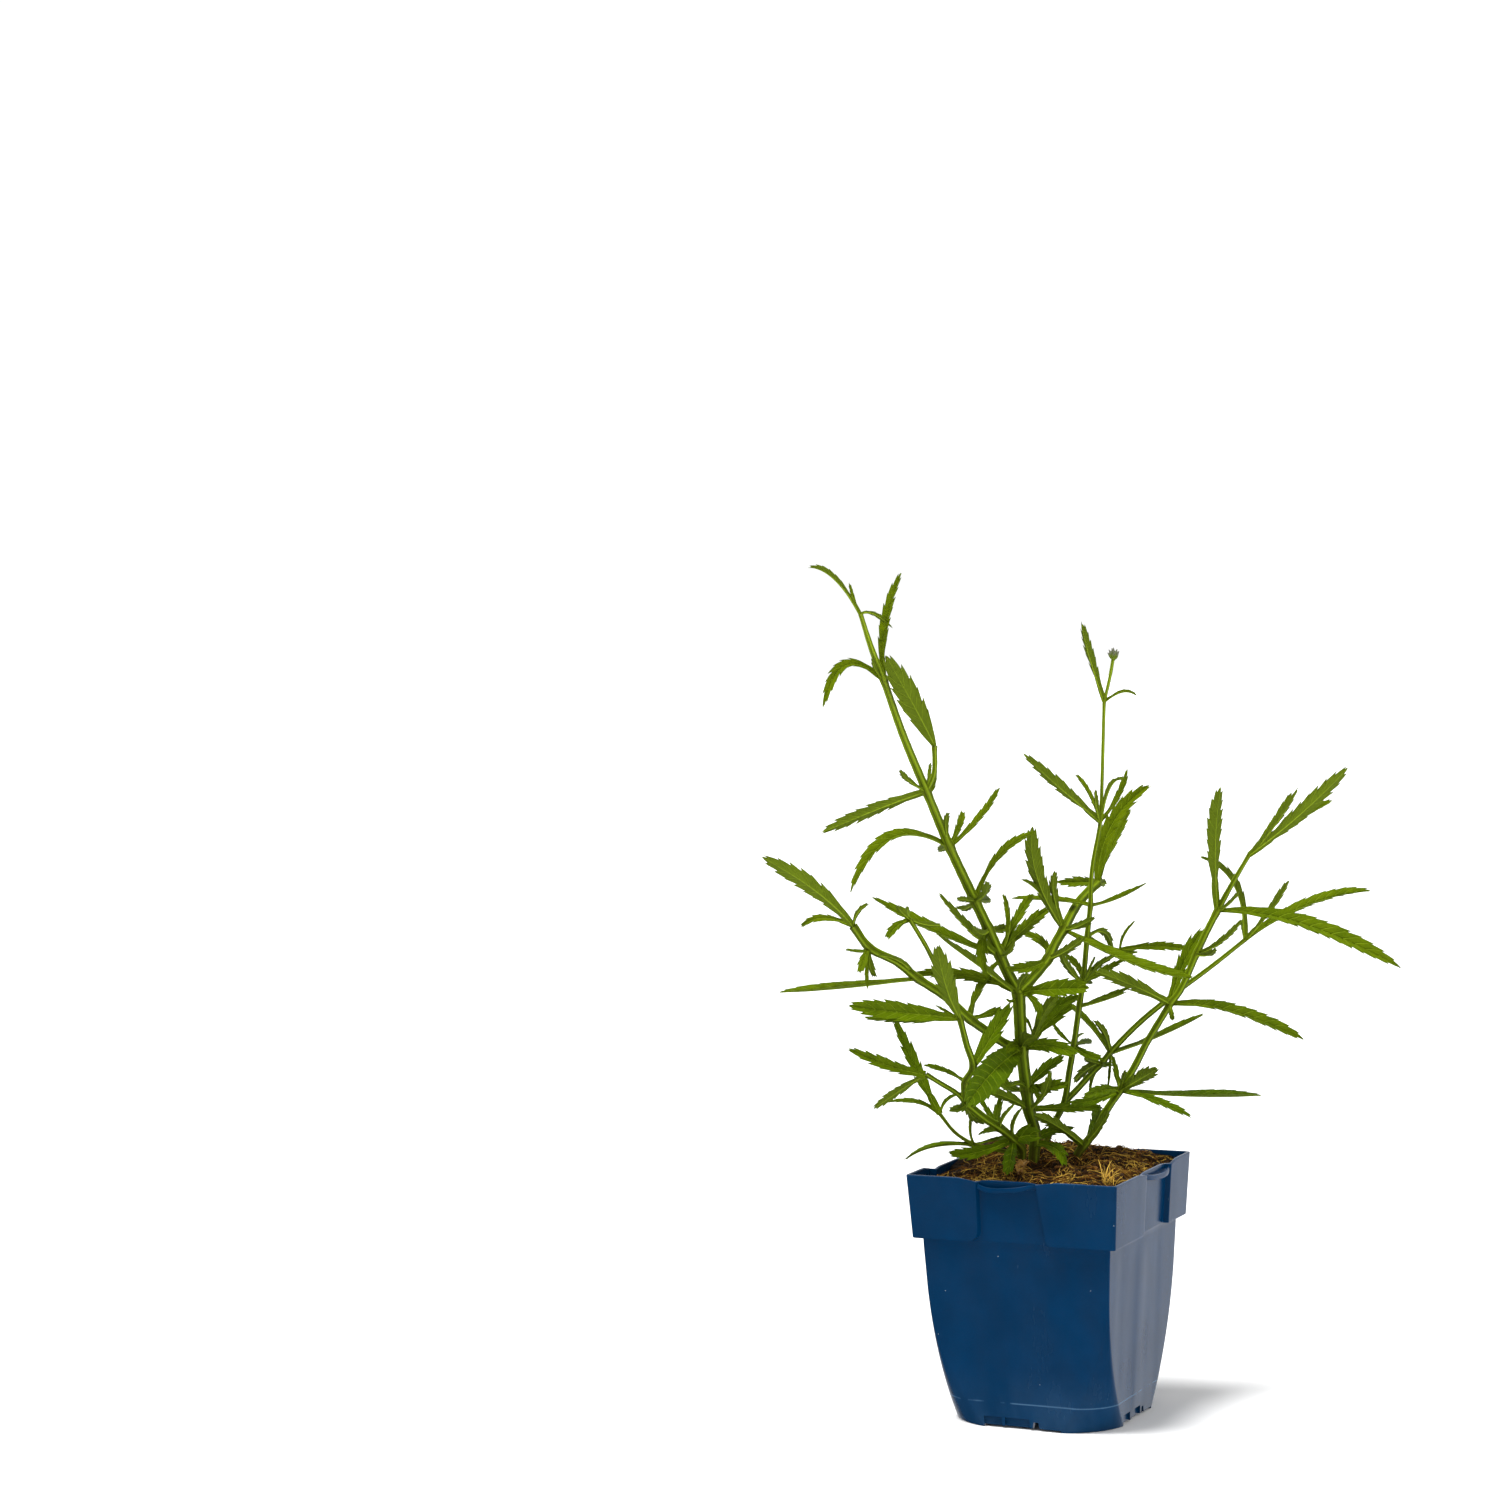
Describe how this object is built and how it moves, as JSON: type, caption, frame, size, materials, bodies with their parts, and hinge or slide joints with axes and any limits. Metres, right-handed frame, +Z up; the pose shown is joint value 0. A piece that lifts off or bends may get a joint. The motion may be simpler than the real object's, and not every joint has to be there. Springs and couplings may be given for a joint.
{
  "type": "potted lollipop verbena",
  "caption": "Young verbena with square stems and narrow toothed leaves, rooted in coir soil in a square, tapered plastic nursery pot with a collar.",
  "frame": {"origin": "the middle of the pot's base, on the flat hub under its floor", "axes": "+Z up along the pot's axis, -Y out of the side that faces the viewer most, +X out of the side to the viewer's right"},
  "size_m": [0.2657, 0.2127, 0.425],
  "materials": {
    "navy_plastic": "smooth moulded polypropylene, faintly scratched",
    "coir_soil": "moist peat and coir with loose fibres",
    "green_leaf": "matt living leaf with sunken veins",
    "dry_leaf": "dry and papery"
  },
  "bodies": {
    "root": {"pot": "navy_plastic", "soil": "coir_soil", "leafy_stem_middle": "green_leaf", "leafy_stem_bud": "green_leaf", "leafy_stem_right": "green_leaf", "leafy_stem_left": "green_leaf", "withered_leaf": "dry_leaf"}
  },
  "joints": []
}
